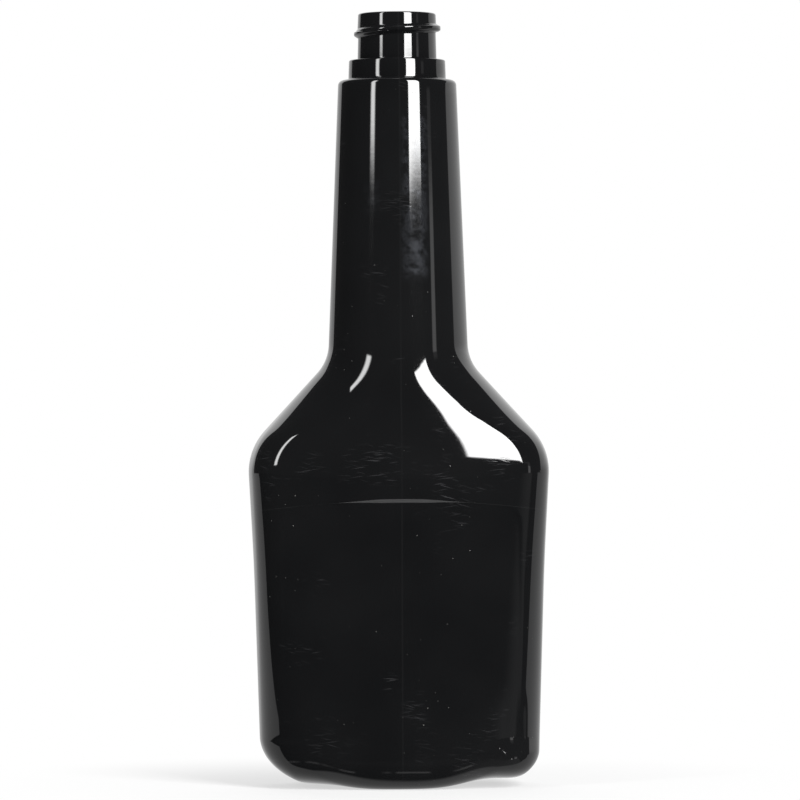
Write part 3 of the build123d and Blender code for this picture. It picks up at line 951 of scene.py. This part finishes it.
stand = add_node(room, "ShaderNodeMath", times,
                 {0: stand.outputs[0], 1: stand_end.outputs["Result"]})
not_black = add_node(room, "ShaderNodeMath", plus, {0: not_black.outputs[0], 1: stand.outputs[0]})
rays = add_node(room, "ShaderNodeLightPath")
seen_white = add_node(room, "ShaderNodeMath", largest,
                      {0: not_black.outputs[0], 1: rays.outputs["Is Camera Ray"]})
shine = add_node(room, "ShaderNodeBackground", {},
                 {"Color": (1, 1, 1, 1), "Strength": seen_white.outputs[0]})
room.node_tree.links.new(shine.outputs[0], room_out.inputs["Surface"])
print("room nodes", len(room.node_tree.nodes))

# %% [markdown]
# ## The lamps
# Two soft lamps, three metres away. They are as wide as their reflections on the neck and the cone,
# reach as far up and down as those on the shoulders, and fade at their edges as a diffuser's do.


# %% The lamps
def softbox(name, azimuth, wide_angle, low, high, distance, radiance, soft_side, soft_end):
    """A soft lamp at an azimuth from the front, in degrees, between two heights, in metres.

    soft_side and soft_end are the shares of its width and height over which it fades."""
    turn = math.radians(azimuth)
    way = Vector((math.sin(turn), -math.cos(turn), 0))
    wide, tall = 2 * distance * math.tan(math.radians(wide_angle) / 2), high - low
    bpy.ops.object.light_add(type="AREA", location=way * distance + Vector((0, 0, (low + high) / 2)))
    lamp = bpy.context.object
    lamp.name = name
    lamp.rotation_euler = (-way).to_track_quat("-Z", "Y").to_euler()
    lamp.data.shape = "RECTANGLE"
    lamp.data.size, lamp.data.size_y = wide, tall
    lamp.data.energy = radiance * math.pi * wide * tall
    lamp.visible_camera = False
    lamp.data.use_nodes = True
    glow = lamp.data.node_tree.nodes["Emission"]
    across = add_node(lamp.data, "ShaderNodeNewGeometry")
    split = add_node(lamp.data, "ShaderNodeSeparateXYZ", {}, {"Vector": across.outputs["Parametric"]})
    faded = None
    for axis, fade_share in (("X", soft_side), ("Y", soft_end)):
        off_middle = add_node(lamp.data, "ShaderNodeMath", minus, {0: split.outputs[axis], 1: 0.5})
        to_edge = add_node(lamp.data, "ShaderNodeMath", unsigned, {0: off_middle.outputs[0]})
        fade = add_node(lamp.data, "ShaderNodeMapRange", soft,
                        {"Value": to_edge.outputs[0], "From Min": 0.5 - fade_share,
                         "From Max": 0.5, "To Min": 1.0, "To Max": 0.0})
        if faded is None:
            faded = fade.outputs["Result"]
        else:
            faded = add_node(lamp.data, "ShaderNodeMath", times,
                             {0: faded, 1: fade.outputs["Result"]}).outputs[0]
    lamp.data.node_tree.links.new(faded, glow.inputs["Strength"])
    print(name, round(wide, 3), "x", round(tall, 3), "m,", round(lamp.data.energy, 1), "W")


softbox("left_softbox", azimuth=-49.75, wide_angle=12.0, low=0.49, high=2.95, distance=3.0,
        radiance=14.0, soft_side=0.35, soft_end=0.03)
softbox("right_softbox", azimuth=30.4, wide_angle=23.2, low=0.50, high=3.20, distance=3.0,
        radiance=25.0, soft_side=0.06, soft_end=0.02)

# %% [markdown]
# ## The camera
# It stands level, a metre and a half away, at half the bottle's height and a touch to the left, as
# the parting line right of the middle shows.

# %% The camera
camera_distance, camera_height, camera_turn, camera_roll = 1.5, 0.1059, -2.2, 0.23
photo_pixels, focal_pixels, shift_pixels, sensor = 800, 5460, 1.6, 36.0
turn = math.radians(camera_turn)
bpy.ops.object.camera_add(location=(math.sin(turn) * camera_distance,
                                    -math.cos(turn) * camera_distance, camera_height))
camera = bpy.context.object
camera.rotation_euler = (math.pi / 2, math.radians(camera_roll), turn)
camera.data.sensor_width = sensor
camera.data.lens = focal_pixels / photo_pixels * sensor
camera.data.shift_x = shift_pixels / photo_pixels
camera.data.clip_start, camera.data.clip_end = 0.05, 50
bpy.context.scene.camera = camera
bpy.context.scene.view_settings.view_transform = "Standard"
print("lens", round(camera.data.lens, 1), "mm, at", [round(c, 3) for c in camera.location])
